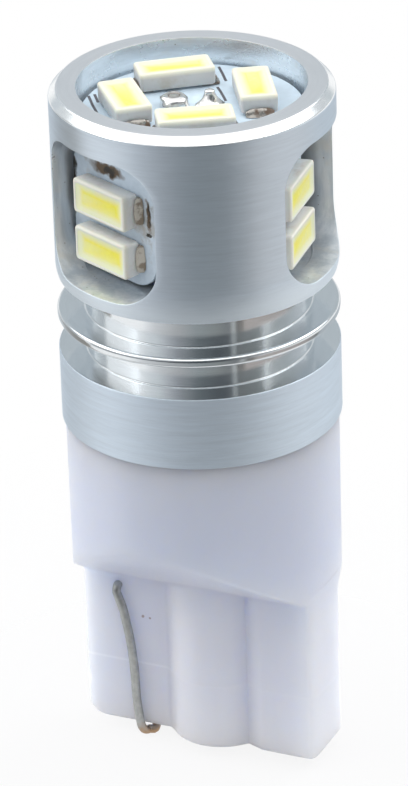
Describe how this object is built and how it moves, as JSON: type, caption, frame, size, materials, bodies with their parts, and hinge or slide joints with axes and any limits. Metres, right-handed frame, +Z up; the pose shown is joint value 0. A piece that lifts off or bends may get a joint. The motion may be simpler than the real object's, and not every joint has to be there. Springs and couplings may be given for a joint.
{
  "type": "wedge base led bulb",
  "caption": "Miniature wedge base LED bulb with a turned aluminium heat sink housing, milled side windows, yellow LED packages and a white moulded base with bent contact wires.",
  "frame": {"origin": "on the bulb's axis, level with the lowest point of the contact wires under the blade", "axes": "+Z up the bulb's axis to the rim, X along the blade's width, -Y out of the blade's front face"},
  "size_m": [0.01, 0.01, 0.0259],
  "materials": {
    "housing_aluminium": "turned, satin with fine horizontal tool marks, polished in the grooves",
    "base_plastic": "white nylon, slightly translucent",
    "led_board": "white solder mask",
    "led_body": "white moulded package",
    "phosphor": "yellow filled silicone",
    "solder": "tin solder",
    "tinned_wire": "dull tin plating",
    "driver_board": "green solder mask",
    "black_epoxy": "moulded epoxy",
    "ceramic": "ceramic chip"
  },
  "bodies": {
    "root": {"bridge_rectifier": "black_epoxy", "ceramic_capacitor": "ceramic", "contact_wire_front": "tinned_wire", "contact_wire_rear": "tinned_wire", "current_regulator": "black_epoxy", "driver_board": "driver_board", "heat_sink_housing": "housing_aluminium", "resistor_1": "ceramic", "resistor_2": "ceramic", "side_led_1_lower": "led_body", "side_led_1_lower_foot_a": "solder", "side_led_1_lower_foot_b": "solder", "side_led_1_lower_phosphor": "phosphor", "side_led_1_upper": "led_body", "side_led_1_upper_foot_a": "solder", "side_led_1_upper_foot_b": "solder", "side_led_1_upper_phosphor": "phosphor", "side_led_2_lower": "led_body", "side_led_2_lower_foot_a": "solder", "side_led_2_lower_foot_b": "solder", "side_led_2_lower_phosphor": "phosphor", "side_led_2_upper": "led_body", "side_led_2_upper_foot_a": "solder", "side_led_2_upper_foot_b": "solder", "side_led_2_upper_phosphor": "phosphor", "side_led_3_lower": "led_body", "side_led_3_lower_foot_a": "solder", "side_led_3_lower_foot_b": "solder", "side_led_3_lower_phosphor": "phosphor", "side_led_3_upper": "led_body", "side_led_3_upper_foot_a": "solder", "side_led_3_upper_foot_b": "solder", "side_led_3_upper_phosphor": "phosphor", "side_led_board_1": "led_board", "side_led_board_2": "led_board", "side_led_board_3": "led_board", "solder_joint_left": "solder", "solder_joint_right": "solder", "supply_lead_left": "tinned_wire", "supply_lead_right": "tinned_wire", "top_led_back": "led_body", "top_led_back_foot_a": "solder", "top_led_back_foot_b": "solder", "top_led_back_phosphor": "phosphor", "top_led_board": "led_board", "top_led_front": "led_body", "top_led_front_foot_a": "solder", "top_led_front_foot_b": "solder", "top_led_front_phosphor": "phosphor", "top_led_left": "led_body", "top_led_left_foot_a": "solder", "top_led_left_foot_b": "solder", "top_led_left_phosphor": "phosphor", "top_led_right": "led_body", "top_led_right_foot_a": "solder", "top_led_right_foot_b": "solder", "top_led_right_phosphor": "phosphor", "wedge_base": "base_plastic"}
  },
  "joints": []
}
